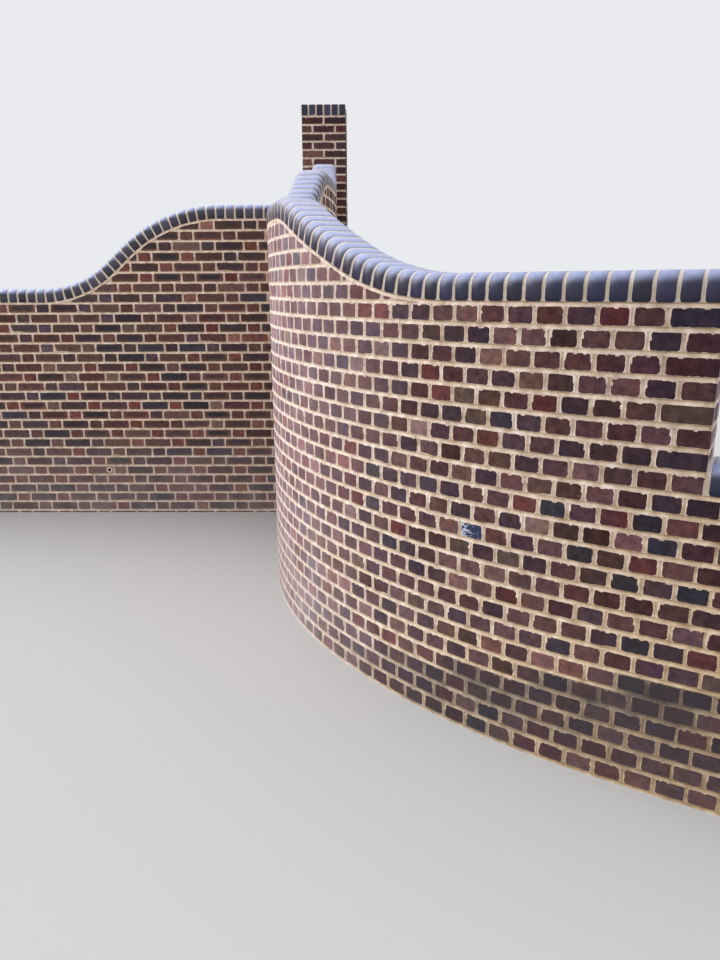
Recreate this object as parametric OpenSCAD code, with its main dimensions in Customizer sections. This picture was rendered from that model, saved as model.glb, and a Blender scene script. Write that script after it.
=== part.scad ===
// Brick garden wall: a straight wall with a swept coping meets a wall that
// curves in plan and climbs in three swept bays to a square end pier.
// Millimetres, +Z up, +Y away from the viewer, z = 0 at the lowest ground.

/* [Brickwork] */
// course height, one brick and one bed joint
course = 77.5; // [65:0.5:90]
// bed and perpend joint thickness
joint = 12.5; // [8:0.5:16]
// wall thickness, one brick length
wall_t = 215; // [200:1:240]
// how far a mortar bed sits behind the brick face
bed_inset = 3; // [0:0.5:6]
// extra bedding under the first course of the straight wall
low_lift = 17.5; // [0:0.5:40]

/* [Coping] */
// height of the brick-on-edge coping
cop_h = 102.5; // [90:0.5:120]
// radius of the bullnose on both long edges
nose_r = 50; // [30:1:51]

/* [Levels in courses] */
// courses under the low coping of the curved wall
n_low = 23; // [16:1:28]
// courses gained in each of the first two swept bays of the curved wall
n_rise = 5; // [3:1:8]
// courses gained in its last swept bay, before the pier
n_last = 3; // [3:1:6]
// how much the first crest lies above its whole courses
crest_lift = 14; // [0:1:30]
// courses the right-hand wall drops below the low coping
n_drop = 8; // [4:1:12]
// courses under the low coping of the straight wall
n_left = 22; // [16:1:28]
// courses gained in the sweep of the straight wall
n_left_rise = 8; // [4:1:12]
// courses of the end pier under its edge course
n_pier = 45; // [40:1:52]

/* [Curved wall plan] */
// sideways distance of the wall's leftmost outer point from the origin
bend_x = 183; // [150:1:220]
// distance from the face of the straight wall to that point
bend_y = 1074; // [900:1:1200]
// outer radius of the bend from there to the main curve
bend_r = 2500; // [2200:50:2800]
// angle of that bend
bend_a = 35; // [30:1:38]
// outer radius of the main curve
main_r = 3300; // [2500:50:4500]
// outer radius of the right-hand curve
wide_r = 8400; // [6000:100:12000]
// length along the outer face from the leftmost point to the quoined end
end_s = 3222; // [3000:1:3600]
// length of the quoined end, one stretcher and one header with their joints
quoin_l = 337.5; // [300:0.5:360]
// length of one bay of the lower right-hand wall
low_bay = 1350; // [1000:5:1800]

/* [Back wall plan] */
// radius of the bend behind the leftmost point
back_r1 = 2500; // [2000:50:3000]
// angle of that bend
back_a1 = 9; // [7:0.1:11]
// straight length behind it
back_l = 220; // [100:5:400]
// radius of the slight bend back towards the pier
back_r2 = 6000; // [5000:100:7000]
// angle at which the last straight length runs to the pier
back_a2 = 2.8; // [2:0.1:4]
// distance from the face of the straight wall to the pier
pier_y = 2078; // [1800:1:2400]

/* [Sweeps] */
// steepest angle of the front sweep on the curved wall
sweep_a = 21.8; // [18:0.1:26]
// radius of its hollow part
sweep_lo = 1800; // [1200:10:2200]
// radius of its round part
sweep_hi = 620; // [400:10:800]
// where the front sweep leaves the low coping, along the outer face
sweep_s = 2248; // [2150:1:2500]
// steepest angle of the second sweep
rear_a = 31; // [28:0.5:34]
// steepest angle of the last sweep
last_a = 28; // [22:0.5:29]
// radius of the hollow part of these two
rear_lo = 1380; // [1000:10:1500]
// radius of their round part
rear_hi = 260; // [200:10:400]
// length of the first crest, round the bend
crest_l = 651; // [600:1:700]
// level length between the two sweeps behind it
level_l = 440; // [400:5:480]
// steepest angle of the sweep on the straight wall
left_a = 41.5; // [30:0.5:55]
// radius of the hollow part of that sweep
left_lo = 905; // [600:5:1200]
// radius of the round part of that sweep
left_hi = 1056; // [700:1:1400]
// distance of the top of that sweep from the origin
left_top_x = 704.5; // [500:0.5:1000]
// length of one level bay of the straight wall
left_bay = 1350; // [1000:5:1800]

/* [End pier] */
// side of the square pier
pier_w = 440; // [330:5:560]
// pier centre, sideways from the origin
pier_x = -12; // [-60:1:60]

/* [Hidden] */
$fn = 120;
bed_t = joint;
cop_t = bed_t + cop_h;
// length of one facet along a skin, and chords in a quarter of the bullnose
step_s = 45;
nose_n = 6;
// further than any wall runs, how far a cut reaches past what it cuts, and how
// far the last bay is drawn into the pier before it is cut at the pier's face
far_run = 12000;
past = 300;
lap = 50;
z_low = n_low * course;
z_drop = (n_low - n_drop) * course;
z_left = n_left * course + low_lift;
z_left_hi = z_left + n_left_rise * course;
z_pier = n_pier * course;
left_rise = n_left_rise * course;

// length of a sweep that gains the height up
function run(up, lo, hi, a) = (lo + hi) * sin(a) + (up - (lo + hi) * (1 - cos(a))) / tan(a);

// heights gained by the three sweeps of the curved wall, front to back
up_1 = n_rise * course + crest_lift;
up_2 = n_rise * course - crest_lift;
up_3 = n_last * course;
left_l = run(left_rise, left_lo, left_hi, left_a);
left_x1 = -left_top_x;
left_x0 = left_x1 - left_l;
// stations along the outer face: plus towards the viewer, minus to the pier
s_crest = sweep_s - run(up_1, sweep_lo, sweep_hi, sweep_a);
s_mid = s_crest - crest_l;
s_high = s_mid - run(up_2, rear_lo, rear_hi, rear_a);
s_high2 = s_high - level_l;
s_top = s_high2 - run(up_3, rear_lo, rear_hi, last_a);
// each piece of the outer face line: length and curvature; the main curve ends
// where the quoined end starts
bend_l = bend_r * bend_a * PI / 180;
main_l = end_s - quoin_l - bend_l;
front_q = [
    [bend_l, 1 / bend_r],
    [main_l, 1 / main_r],
    [far_run, 1 / wide_r]
];
back_q = [
    [back_r1 * back_a1 * PI / 180, -1 / back_r1],
    [back_l, 0],
    [back_r2 * (back_a1 + back_a2) * PI / 180, 1 / back_r2],
    [far_run, 0]
];
start = [-bend_x, -bend_y];
bent_l = back_q[0][0] + back_q[1][0] + back_q[2][0];
s_pier = -bent_l - (pier_y - walk([start[0], start[1], 90], back_q, bent_l)[1]) / cos(back_a2);

// pose [x, y, heading] after length l of curvature k
function ahead(p, l, k) = k == 0
    ? [p[0] + l * cos(p[2]), p[1] + l * sin(p[2]), p[2]]
    : let(h = p[2] + l * k * 180 / PI)
      [p[0] + (sin(h) - sin(p[2])) / k, p[1] - (cos(h) - cos(p[2])) / k, h];

// pose at length l along the pieces q, from pose p
function walk(p, q, l, i = 0) = l <= q[i][0] || i == len(q) - 1
    ? ahead(p, l, q[i][1])
    : walk(ahead(p, q[i][0], q[i][1]), q, l - q[i][0], i + 1);

// pose of the outer face line at station s, always heading to the viewer
function pose(s) = s >= 0
    ? walk([start[0], start[1], -90], front_q, s)
    : walk([start[0], start[1], 90], back_q, -s) - [0, 0, 180];

// height of a sweep at u from its low end
function ogee(u, up, lo, hi, a, l) =
    u <= 0 ? 0
    : u >= l ? up
    : u < lo * sin(a) ? lo - sqrt(lo * lo - u * u)
    : u > l - hi * sin(a) ? up - hi + sqrt(hi * hi - (l - u) * (l - u))
    : lo * (1 - cos(a)) + (u - lo * sin(a)) * tan(a);

// top of the brickwork at station s of the curved wall
function top_z(s) = z_low
    + ogee(sweep_s - s, up_1, sweep_lo, sweep_hi, sweep_a, sweep_s - s_crest)
    + ogee(s_mid - s, up_2, rear_lo, rear_hi, rear_a, s_mid - s_high)
    + ogee(s_high2 - s, up_3, rear_lo, rear_hi, last_a, s_high2 - s_top);

// slope of that top line, as an angle
function tilt(s) = atan((top_z(s - 1) - top_z(s + 1)) / 2);

// point at station s, w in from the outer face and v square to the top line
function at(s, w, v) =
    let(p = pose(s), b = tilt(s))
    [p[0] - w * sin(p[2]) + v * sin(b) * cos(p[2]),
     p[1] + w * cos(p[2]) + v * sin(b) * sin(p[2]),
     top_z(s) + v * cos(b)];

// closed skin over rings of n points each, rings in order along the wall; the
// closing side takes the other diagonal, so it seats on the skin below it
module skin(rings) {
    n = len(rings[0]);
    m = len(rings);
    pts = [for (r = rings) for (p = r) p];
    sides = [for (j = [0 : m - 2]) for (i = [0 : n - 1])
        let(a = j * n + i, b = j * n + (i + 1) % n, c = a + n, d = b + n)
        each i == n - 1 ? [[a, d, c], [a, b, d]] : [[a, b, c], [b, d, c]]];
    first = [for (i = [1 : n - 2]) [0, i + 1, i]];
    last = [for (i = [1 : n - 2]) [(m - 1) * n, (m - 1) * n + i, (m - 1) * n + i + 1]];
    polyhedron(points = pts, faces = concat(sides, first, last), convexity = 6);
}

// stations from s0 to s1, about step_s apart
function stations(s0, s1) =
    let(n = ceil((s1 - s0) / step_s))
    [for (i = [0 : n]) s0 + (s1 - s0) * i / n];

// bullnose outline, the two rounded edges in short chords
function nose_pts(v0) =
    let(quarter = [for (i = [0 : nose_n])
        [nose_r * (1 - cos(90 * i / nose_n)), v0 + cop_h - nose_r * (1 - sin(90 * i / nose_n))]])
    concat(
        [[0, v0]],
        quarter,
        [for (i = [nose_n : -1 : 0]) [wall_t - quarter[i][0], quarter[i][1]]],
        [[wall_t, v0]]);

// swept brickwork from the ground to the top line
module rising_bricks(s0, s1) {
    skin([for (s = stations(s0, s1))
        let(a = at(s, 0, 0), b = at(s, wall_t, 0))
        [[a[0], a[1], 0], a, b, [b[0], b[1], 0]]]);
}

// swept mortar bed on the top line
module rising_bed(s0, s1) {
    skin([for (s = stations(s0, s1))
        [at(s, bed_inset, 0), at(s, bed_inset, bed_t),
         at(s, wall_t - bed_inset, bed_t), at(s, wall_t - bed_inset, 0)]]);
}

// swept bullnose coping on the bed
module rising_coping(s0, s1) {
    skin([for (s = stations(s0, s1)) [for (q = nose_pts(bed_t)) at(s, q[0], q[1])]]);
}

// flat outline of the coping, w to the right and v up
module nose_2d() {
    square([wall_t, cop_h - nose_r]);
    translate([nose_r, 0]) square([wall_t - 2 * nose_r, cop_h]);
    translate([nose_r, cop_h - nose_r]) circle(nose_r);
    translate([wall_t - nose_r, cop_h - nose_r]) circle(nose_r);
}

// level run of an outline round one piece of the front line
module front_run(s0, s1, z) {
    p = pose(s0);
    r = s0 + s1 < 2 * (bend_l + main_l) ? main_r : wide_r;
    translate([p[0] - r * sin(p[2]), p[1] + r * cos(p[2]), z])
        rotate([0, 0, p[2] - 90])
        rotate_extrude(angle = (s1 - s0) / r * 180 / PI)
        translate([r - wall_t, 0]) children();
}

module wall_2d(h) {
    square([wall_t, h]);
}

module bed_2d() {
    translate([bed_inset, 0]) square([wall_t - 2 * bed_inset, bed_t]);
}

// straight run of an outline along X between x0 and x1, at height z
module left_run(x0, x1, z) {
    translate([x1, 0, z]) rotate([90, 0, -90]) mirror([1, 0, 0]) linear_extrude(x1 - x0) children();
}

// point of the straight wall's sweep: u along it, w in and v square to its top
function left_at(u, w, v) =
    let(z0 = ogee(u - 1, left_rise, left_lo, left_hi, left_a, left_l),
        z1 = ogee(u + 1, left_rise, left_lo, left_hi, left_a, left_l),
        b = atan((z1 - z0) / 2))
    [left_x0 + u - v * sin(b), w,
     z_left + ogee(u, left_rise, left_lo, left_hi, left_a, left_l) + v * cos(b)];

brick_c = [0.36, 0.22, 0.2];
mortar_c = [0.76, 0.66, 0.5];
cope_c = [0.25, 0.26, 0.34];

module lower_bay_far() {
    color(brick_c) front_run(end_s + low_bay, end_s + 2 * low_bay, 0) wall_2d(z_drop);
}

module lower_bay_near() {
    color(brick_c) front_run(end_s, end_s + low_bay, 0) wall_2d(z_drop);
}

module quoined_end() {
    color(brick_c) front_run(end_s - quoin_l, end_s, 0) wall_2d(z_low);
}

module level_bay_right() {
    color(brick_c) front_run(sweep_s, end_s - quoin_l, 0) wall_2d(z_low);
}

module sweep_bay_front() {
    color(brick_c) rising_bricks(s_crest, sweep_s);
}

module crest_bend() {
    color(brick_c) rising_bricks(s_mid, s_crest);
}

module sweep_bay_mid() {
    color(brick_c) rising_bricks(s_high, s_mid);
}

module level_bay_back() {
    color(brick_c) rising_bricks(s_high2, s_high);
}

module sweep_bay_back() {
    color(brick_c) rising_bricks(s_top, s_high2);
}

module pier_bay() {
    color(brick_c) difference() {
        rising_bricks(s_pier - lap, s_top);
        pier_block(0, z_pier);
    }
}

// square block of the pier between two heights
module pier_block(z0, z1) {
    translate([pier_x - pier_w / 2, pier_y, z0]) cube([pier_w, pier_w, z1 - z0]);
}

module pier_shaft() {
    color(brick_c) pier_block(0, z_pier);
}

module pier_cap_bed() {
    color(mortar_c) translate([pier_x - pier_w / 2 + bed_inset, pier_y + bed_inset, z_pier])
        cube([pier_w - 2 * bed_inset, pier_w - 2 * bed_inset, bed_t]);
}

module pier_edge_course() {
    color(cope_c) pier_block(z_pier + bed_t, z_pier + cop_t);
}

// block behind the face of the three back bays, where the straight wall butts
module back_cut() {
    ends = [s_top, s_high2, s_high, s_mid];
    skin([for (i = [0 : 2]) for (s = stations(ends[i], ends[i + 1])) if (i == 2 || s < ends[i + 1])
        let(a = at(s, 0, 0), b = at(s, past, 0))
        [[a[0], a[1], -past], [a[0], a[1], z_pier], [b[0], b[1], z_pier], [b[0], b[1], -past]]]);
}

module left_high_bay() {
    color(brick_c) difference() {
        left_run(left_x1, 0, 0) wall_2d(z_left_hi);
        back_cut();
    }
}

module left_sweep_bay() {
    color(brick_c) skin([for (u = stations(0, left_l))
        let(a = left_at(u, 0, 0), b = left_at(u, wall_t, 0))
        [[a[0], a[1], 0], a, b, [b[0], b[1], 0]]]);
}

module left_bay_near() {
    color(brick_c) left_run(left_x0 - left_bay, left_x0, 0) wall_2d(z_left);
}

module left_bay_far() {
    color(brick_c) left_run(left_x0 - 2 * left_bay, left_x0 - left_bay, 0) wall_2d(z_left);
}

module bed_lower() {
    color(mortar_c) front_run(end_s, end_s + 2 * low_bay, z_drop) bed_2d();
}

module bed_level_right() {
    color(mortar_c) front_run(sweep_s, end_s - quoin_l, z_low) bed_2d();
}

module bed_quoined_end() {
    color(mortar_c) front_run(end_s - quoin_l, end_s - bed_inset, z_low) bed_2d();
}

module bed_sweep_front() {
    color(mortar_c) rising_bed(s_crest, sweep_s);
}

module bed_crest() {
    color(mortar_c) rising_bed(s_mid, s_crest);
}

module bed_sweep_mid() {
    color(mortar_c) rising_bed(s_high, s_mid);
}

module bed_level_back() {
    color(mortar_c) rising_bed(s_high2, s_high);
}

module bed_sweep_back() {
    color(mortar_c) rising_bed(s_top, s_high2);
}

module bed_pier_bay() {
    color(mortar_c) difference() {
        rising_bed(s_pier - lap, s_top);
        pier_block(0, z_pier);
    }
}

module bed_left_high() {
    color(mortar_c) difference() {
        left_run(left_x1, 0, z_left_hi) bed_2d();
        back_cut();
    }
}

module bed_left_sweep() {
    color(mortar_c) skin([for (u = stations(0, left_l))
        [left_at(u, bed_inset, 0), left_at(u, bed_inset, bed_t),
         left_at(u, wall_t - bed_inset, bed_t), left_at(u, wall_t - bed_inset, 0)]]);
}

module bed_left_low() {
    color(mortar_c) left_run(left_x0 - 2 * left_bay, left_x0, z_left) bed_2d();
}

module coping_lower_far() {
    color(cope_c) front_run(end_s + low_bay, end_s + 2 * low_bay, z_drop + bed_t) nose_2d();
}

module coping_lower_near() {
    color(cope_c) front_run(end_s, end_s + low_bay, z_drop + bed_t) nose_2d();
}

module coping_level_right() {
    color(cope_c) front_run(sweep_s, end_s - quoin_l, z_low + bed_t) nose_2d();
}

module coping_quoined_end() {
    color(cope_c) front_run(end_s - quoin_l, end_s, z_low + bed_t) nose_2d();
}

module coping_sweep_front() {
    color(cope_c) rising_coping(s_crest, sweep_s);
}

module coping_crest() {
    color(cope_c) rising_coping(s_mid, s_crest);
}

module coping_sweep_mid() {
    color(cope_c) rising_coping(s_high, s_mid);
}

module coping_level_back() {
    color(cope_c) rising_coping(s_high2, s_high);
}

module coping_sweep_back() {
    color(cope_c) rising_coping(s_top, s_high2);
}

module coping_pier_bay() {
    color(cope_c) difference() {
        rising_coping(s_pier - lap, s_top);
        pier_block(0, z_pier);
    }
}

module coping_left_high() {
    color(cope_c) difference() {
        left_run(left_x1, 0, z_left_hi + bed_t) nose_2d();
        back_cut();
    }
}

module coping_left_sweep() {
    color(cope_c) skin([for (u = stations(0, left_l))
        [for (q = nose_pts(bed_t)) left_at(u, q[0], q[1])]]);
}

module coping_left_near() {
    color(cope_c) left_run(left_x0 - left_bay, left_x0, z_left + bed_t) nose_2d();
}

module coping_left_far() {
    color(cope_c) left_run(left_x0 - 2 * left_bay, left_x0 - left_bay, z_left + bed_t) nose_2d();
}

lower_bay_far();
lower_bay_near();
quoined_end();
level_bay_right();
sweep_bay_front();
crest_bend();
sweep_bay_mid();
level_bay_back();
sweep_bay_back();
pier_bay();
pier_shaft();
pier_cap_bed();
pier_edge_course();
left_high_bay();
left_sweep_bay();
left_bay_near();
left_bay_far();
bed_lower();
bed_quoined_end();
bed_level_right();
bed_sweep_front();
bed_crest();
bed_sweep_mid();
bed_level_back();
bed_sweep_back();
bed_pier_bay();
bed_left_high();
bed_left_sweep();
bed_left_low();
coping_lower_far();
coping_lower_near();
coping_quoined_end();
coping_level_right();
coping_sweep_front();
coping_crest();
coping_sweep_mid();
coping_level_back();
coping_sweep_back();
coping_pier_bay();
coping_left_high();
coping_left_sweep();
coping_left_near();
coping_left_far();
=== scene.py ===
import bpy
import numpy as np
from mathutils import Matrix, Vector


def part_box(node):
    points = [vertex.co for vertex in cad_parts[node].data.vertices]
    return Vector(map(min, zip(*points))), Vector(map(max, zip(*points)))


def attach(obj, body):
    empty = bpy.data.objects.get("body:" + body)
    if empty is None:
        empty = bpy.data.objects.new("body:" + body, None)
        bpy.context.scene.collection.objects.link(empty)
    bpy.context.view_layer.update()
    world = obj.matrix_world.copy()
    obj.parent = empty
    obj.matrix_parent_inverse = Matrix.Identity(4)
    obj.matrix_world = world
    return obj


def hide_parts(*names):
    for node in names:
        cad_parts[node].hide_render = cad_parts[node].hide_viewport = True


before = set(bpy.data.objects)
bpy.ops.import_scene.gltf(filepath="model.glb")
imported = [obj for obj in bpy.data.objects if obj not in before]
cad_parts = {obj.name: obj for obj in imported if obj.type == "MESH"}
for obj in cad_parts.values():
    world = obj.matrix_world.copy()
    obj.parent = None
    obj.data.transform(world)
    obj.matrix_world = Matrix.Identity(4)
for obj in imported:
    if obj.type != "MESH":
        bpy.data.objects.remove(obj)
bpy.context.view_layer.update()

draw = np.random.default_rng(45)

# brickwork
course, joint, wall_t, low_lift = 0.0775, 0.0125, 0.215, 0.0175
brick_w, brick_l = 0.1025, 0.215
header_pitch, flemish_pitch, left_pitch = 0.1115, 0.3375, 0.3341
cop_h, cop_brick, cop_pitch, low_cop_pitch, nose_r = 0.1025, 0.065, 0.0737, 0.0749, 0.05
# levels
n_low, n_rise, n_last, n_drop, n_left, n_left_rise, n_pier = 23, 5, 3, 8, 22, 8, 45
z_low, z_drop, z_pier = n_low * course, (n_low - n_drop) * course, n_pier * course
z_left = n_left * course + low_lift
z_edge = z_pier + joint + cop_h
# plan of the curved wall's outer face, arcs of length and curvature; the last runs on past the wall's end
bend_x, bend_y, end_s, quoin_l, low_end = 0.183, 1.074, 3.222, 0.3375, 5.922
bend_r, front_r, low_r, back_r, onward = 2.5, 3.3, 8.4, 6, 12
bend_l, out_turn, back_turn, out_l = bend_r * np.radians(35), np.radians(9), np.radians(2.8), 0.22
front_arcs = [(bend_l, 1 / bend_r), (end_s - quoin_l - bend_l, 1 / front_r), (onward, 1 / low_r)]
back_arcs = [
    (bend_r * out_turn, -1 / bend_r), (out_l, 0), (back_r * (out_turn + back_turn), 1 / back_r), (onward, 0)]
# sweeps: height gained, radius of the hollow and the round part, steepest angle
front_sweep = (n_rise * course + 0.014, 1.8, 0.62, np.radians(21.8))
middle_sweep = (n_rise * course - 0.014, 1.38, 0.26, np.radians(31))
back_sweep = (n_last * course, 1.38, 0.26, np.radians(28))
left_sweep = (n_left_rise * course, 0.905, 1.056, np.radians(41.5))
sweep_s, crest_l, level_l = 2.248, 0.651, 0.44
left_x1 = -0.7045
left_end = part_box("left_bay_far")[0].x
left_bay_l, left_pitches = 1.35, 16
pier_x0, pier_y0, pier_w = -0.232, 2.078, 0.44
# bonds of the straight wall: a header's middle on rows like the top one and on the others, a coping joint
left_even_x, left_odd_x, left_cop_x = -0.474, -0.637, -0.366
# the curved coping's first joint past the quoined end, above and on the low wall; the height over the top
# line at which its pitch is measured, and the straight grid's first station
cop_start, low_cop_start, pitch_lift, left_grid_x = 0.004, 0.0055, 0.062, -4.9
# clearance of mortar, bricks and beds at a free end, the wall's seat in the pier, and mortar set back
cover, shy, bed_shy, let_in, mortar_back = 0.004, 0.0012, 0.0006, 0.012, 0.004
# a cut brick's least height, its least length on either wall, and the arrises of brick and coping
least_h, least_l, left_least_l, arris, cop_arris = 0.014, 0.03, 0.02, 0.0026, 0.0022


def sweep_length(up, hollow, crown, angle):
    """Run of an ogee: both arcs' sines, plus the straight between them, its rise over the tangent."""
    return (hollow + crown) * np.sin(angle) + (up - (hollow + crown) * (1 - np.cos(angle))) / np.tan(angle)


def ogee(u, up, hollow, crown, angle):
    """Height at u from the low end: a circle curving up, a straight ramp, then a circle curving level."""
    run = sweep_length(up, hollow, crown, angle)
    u = np.clip(u, 0, run)
    low = hollow - np.sqrt(np.maximum(hollow**2 - u**2, 0))
    high = up - crown + np.sqrt(np.maximum(crown**2 - (run - u) ** 2, 0))
    ramp = hollow * (1 - np.cos(angle)) + (u - hollow * np.sin(angle)) * np.tan(angle)
    return np.where(u < hollow * np.sin(angle), low, np.where(u > run - crown * np.sin(angle), high, ramp))


s_crest = sweep_s - sweep_length(*front_sweep)
s_mid = s_crest - crest_l
s_high = s_mid - sweep_length(*middle_sweep)
s_high2 = s_high - level_l
s_top = s_high2 - sweep_length(*back_sweep)
left_x0 = left_x1 - sweep_length(*left_sweep)


def walk(x, y, heading, arcs, distance):
    """Pose after a distance along arcs: the heading grows by curvature times length, x and y along it."""
    x, y, heading = (np.full(np.shape(distance), float(v)) for v in (x, y, heading))
    for length, bend in arcs:
        used = np.clip(distance, 0, length)
        distance = distance - length
        turned = heading + bend * used
        if bend:
            x = x + (np.sin(turned) - np.sin(heading)) / bend
            y = y - (np.cos(turned) - np.cos(heading)) / bend
        else:
            x, y = x + used * np.cos(heading), y + used * np.sin(heading)
        heading = turned
    return x, y, heading


def curved_line(s):
    """Line of the curved wall's outer face: forward arcs for s over 0, backward arcs for s under 0."""
    fore = walk(-bend_x, -bend_y, -np.pi / 2, front_arcs, np.maximum(s, 0))
    aft = walk(-bend_x, -bend_y, np.pi / 2, back_arcs, np.maximum(-s, 0))
    return [np.where(s >= 0, a, b) for a, b in zip(fore, (aft[0], aft[1], aft[2] - np.pi))]


s_bent = -sum(length for length, _ in back_arcs[:3])
s_pier = s_bent - (pier_y0 - curved_line(np.array(s_bent))[1]) / np.cos(back_turn)


def curved_top(s):
    """Top of the curved brickwork: the low level plus three ogees."""
    low_part = z_low + ogee(sweep_s - s, *front_sweep) + ogee(s_mid - s, *middle_sweep)
    return low_part + ogee(s_high2 - s, *back_sweep)


class Wall:
    """A wall along a line: line(s) gives x, y and heading at station s, and top(s) the top of its
    brickwork. No brick reaches past its ends."""

    def __init__(self, line, top, ends):
        self.line, self.top, self.ends = line, top, ends

    def spot(self, s, w, z):
        """Point at station s, w in from the outer face: the line's point plus w along its left normal."""
        x, y, h = self.line(s)
        return np.stack(np.broadcast_arrays(x - w * np.sin(h), y + w * np.cos(h), z), -1)

    def slope(self, s):
        """Angle of the top line: arctangent of its change over 2 mm."""
        return np.arctan((self.top(s + 0.001) - self.top(s - 0.001)) / 0.002)

    def over(self, s, w, v):
        """Point v square to the top line: back along the heading by its sine, up by its cosine."""
        b, h = self.slope(s), self.line(s)[2]
        p = self.spot(s, w, self.top(s) + v * np.cos(b))
        back = v * np.sin(b)
        return p - np.stack(np.broadcast_arrays(back * np.cos(h), back * np.sin(h), 0 * back), -1)


def straight(x, y, heading):
    """Line of a straight wall from a corner: the corner plus s along the heading."""
    return lambda s: (x + s * np.cos(heading), y + s * np.sin(heading), heading + 0 * s)


curved = Wall(curved_line, curved_top, (s_pier - let_in, low_end))
low_right = Wall(curved_line, lambda s: z_drop + 0 * s, (0, low_end))
left = Wall(straight(0, 0, 0), lambda s: z_left + ogee(s - left_x0, *left_sweep), (left_end, 1))
quoin_x, quoin_y, quoin_h = curved_line(np.array(end_s))
quoin_face = Wall(straight(quoin_x, quoin_y, quoin_h + np.pi / 2), lambda s: z_low + 0 * s, (0, wall_t))
pier_x1, pier_y1 = pier_x0 + pier_w, pier_y0 + pier_w
pier_faces = [
    Wall(straight(x, y, heading), lambda s: z_edge + 1 + 0 * s, (0, pier_w)) for x, y, heading in (
        (pier_x0, pier_y0, 0), (pier_x1, pier_y0, np.pi / 2), (pier_x1, pier_y1, np.pi),
        (pier_x0, pier_y1, -np.pi / 2))
]
pier = pier_faces[0]


def linear(code):
    """sRGB hex to the linear red, green, blue, alpha that shaders take."""
    c = np.array([int(code[i : i + 2], 16) / 255 for i in (1, 3, 5)])
    return (*np.where(c <= 0.04045, c / 12.92, ((c + 0.055) / 1.055) ** 2.4).tolist(), 1.0)


# settings used often. Mix takes a share as input 0 and two colours as 6 and 7, laid over or multiplied.
# MapRange turns its input 0 from the range 1 to 2 into the range 3 to 4, here with eased ends. Math
# multiplies its first two inputs, and may add the third.
OVER = {"data_type": "RGBA"}
TINT = {"data_type": "RGBA", "blend_type": "MULTIPLY"}
EASED = {"interpolation_type": "SMOOTHSTEP"}
TIMES = {"operation": "MULTIPLY"}
TIMES_PLUS = {"operation": "MULTIPLY_ADD"}


def add(tree, kind, ins=(), **props):
    """Adds a node: props are its settings, and ins its inputs in order or by key. Each is a value, a pair of
    node and output, or a node for its first output."""
    node = tree.nodes.new("ShaderNode" + kind)
    for key, value in props.items():
        setattr(node, key, value)
    for key, value in ins.items() if isinstance(ins, dict) else enumerate(ins):
        if isinstance(value, bpy.types.Node):
            value = (value, 0)
        if isinstance(value, tuple) and isinstance(value[0], bpy.types.Node):
            tree.links.new(value[0].outputs[value[1]], node.inputs[key])
        else:
            node.inputs[key].default_value = value
    return node


def fresh(name):
    """A node material without nodes, and its tree."""
    material = bpy.data.materials.new(name)
    material.use_nodes = True
    tree = material.node_tree
    tree.nodes.clear()
    return material, tree


def sand_mortar(tree, place):
    """Colour and grain height of sandy mortar: buff and cream patches 40 mm wide, yellower low down on
    the right where soil splashes it, under sand grains drawn 2 mm wide so that they show."""
    patch = add(tree, "TexNoise", {"Vector": place, "Scale": 26.0, "Detail": 4.0})
    ramp = add(tree, "ValToRGB", [patch])
    stops = ((0.3, "#c7b19e"), (0.45, "#dec8b5"), (0.58, "#efdbc9"), (0.72, "#fff2e6"))
    ramp.color_ramp.elements.new(0.5)
    ramp.color_ramp.elements.new(0.5)
    for stop, (spot, code) in zip(ramp.color_ramp.elements, stops):
        stop.position, stop.color = spot, linear(code)
    grain = add(tree, "TexNoise", {"Vector": place, "Scale": 480.0, "Detail": 2.0, "Roughness": 0.7})
    shade = add(tree, "MapRange", [grain, 0.3, 0.7, 0.8, 1.18])
    tint = add(tree, "Mix", {0: 1.0, 6: ramp, 7: shade}, **TINT)
    near_soil = add(tree, "VectorMath", [place, (1.0, 0.0, -1.0)], operation="DOT_PRODUCT")
    splash = add(tree, "MapRange", [(near_soil, 1), 0.1, 1.2, 0.0, 1.0])
    tanned = add(tree, "Mix", {0: splash, 6: (tint, 2), 7: linear("#fbf2db")}, **TINT)
    return (tanned, 2), (grain, 0)


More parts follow.
